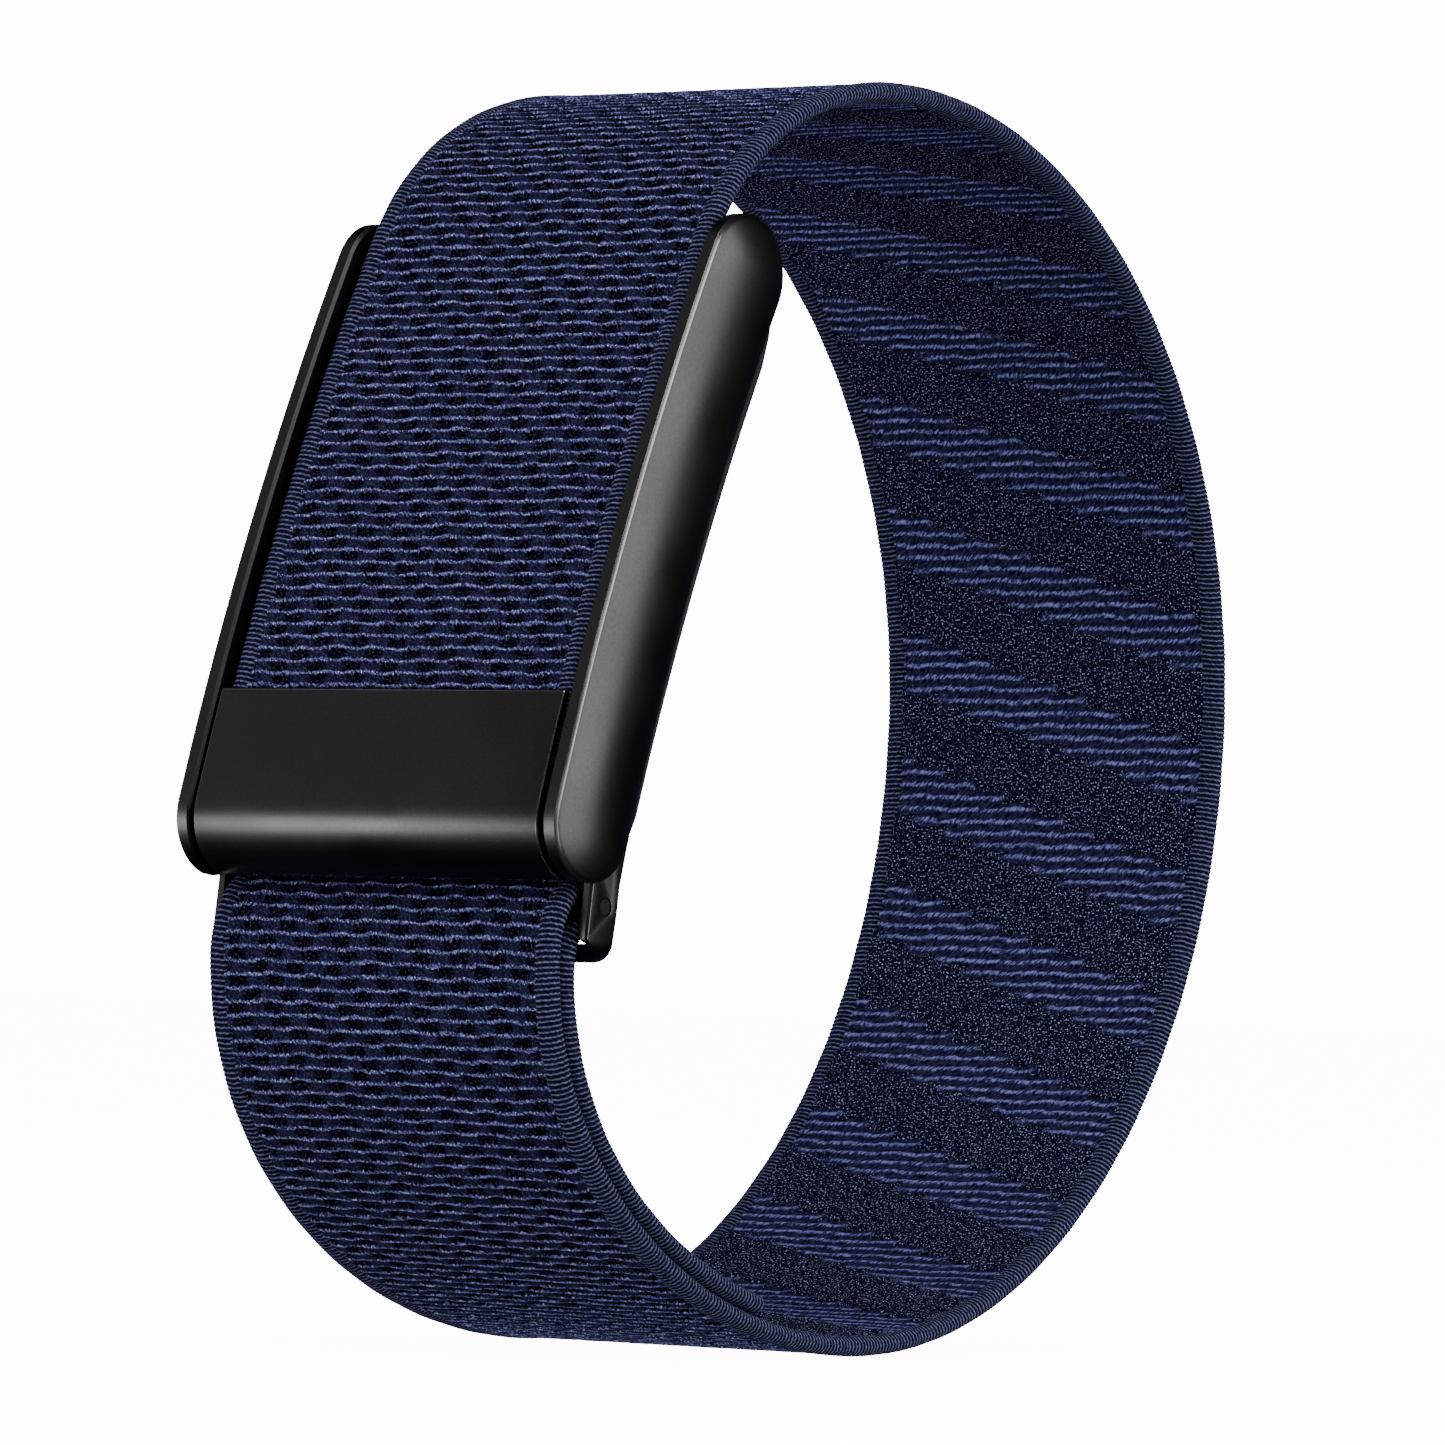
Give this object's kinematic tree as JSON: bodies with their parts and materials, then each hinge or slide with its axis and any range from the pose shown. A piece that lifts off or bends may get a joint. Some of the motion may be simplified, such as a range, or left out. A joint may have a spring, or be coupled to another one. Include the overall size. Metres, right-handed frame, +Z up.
{
  "type": "fitness tracker band",
  "caption": "Screenless activity tracker: a curved pill-shaped sensor pod on a knitted navy wrist strap, closed by a black metal hook over the pod's foot.",
  "frame": {"origin": "on the surface that the band stands on, under the middle of its box", "axes": "+Z up through the crown of the strap, X along the wrist, -Y out of the pod's face"},
  "size_m": [0.0248, 0.0568, 0.0627],
  "materials": {
    "navy_weave": "woven, matt",
    "black_metal": "satin",
    "black_plastic": "satin",
    "seal_rubber": "matt",
    "steel": "brushed",
    "window_glass": "polished",
    "board_green": "solder mask",
    "chip_black": "moulded",
    "led_green": "clear",
    "led_red": "clear",
    "battery_foil": "foil",
    "copper": "enamelled wire",
    "flex_amber": "film"
  },
  "bodies": {
    "band": {"strap_ring": "navy_weave", "strap_fold": "navy_weave", "loop_frame": "black_metal", "strap_bar": "steel"},
    "flap": {"face_strap": "navy_weave"},
    "hook": {"strap_hem": "navy_weave", "hook_plate": "black_metal", "strap_end_bar": "steel"},
    "pod": {"frame_pin_left": "steel", "frame_pin_right": "steel", "pod_back_shell": "black_plastic", "pod_front_cover": "black_plastic", "cover_gasket": "seal_rubber", "side_cap_left": "black_metal", "side_cap_right": "black_metal", "sensor_window": "window_glass", "sensor_bezel": "black_metal", "optical_board": "board_green", "main_board": "board_green", "led_green_left": "led_green", "led_green_right": "led_green", "led_red_infrared": "led_red", "photodiode_upper": "chip_black", "photodiode_lower": "chip_black", "photodiode_left": "chip_black", "photodiode_right": "chip_black", "processor_chip": "chip_black", "radio_chip": "chip_black", "motion_sensor_chip": "chip_black", "battery_cell": "battery_foil", "charging_coil": "copper", "antenna_strip": "copper", "vibration_motor": "steel", "flex_cable": "flex_amber", "skin_temperature_sensor": "steel"},
    "tail": {"strap_tail": "navy_weave"}
  },
  "joints": [
    {"name": "flap_lift", "type": "hinge", "parent": "band", "child": "flap", "pos_m": [0, -0.01624, 0.05443], "axis": [-1, 0, 0], "range_deg": [0, 110]},
    {"name": "hook_tilt", "type": "hinge", "parent": "flap", "child": "hook", "pos_m": [0, -0.02652, 0.0319], "axis": [-1, 0, 0], "range_deg": [0, 50]},
    {"name": "pod_swing", "type": "hinge", "parent": "band", "child": "pod", "pos_m": [0, -0.02394, 0.02483], "axis": [-1, 0, 0], "range_deg": [0, 30]},
    {"name": "tail_peel", "type": "hinge", "parent": "band", "child": "tail", "pos_m": [0, -0.02504, 0.01878], "axis": [1, 0, 0], "range_deg": [0, 20]}
  ]
}
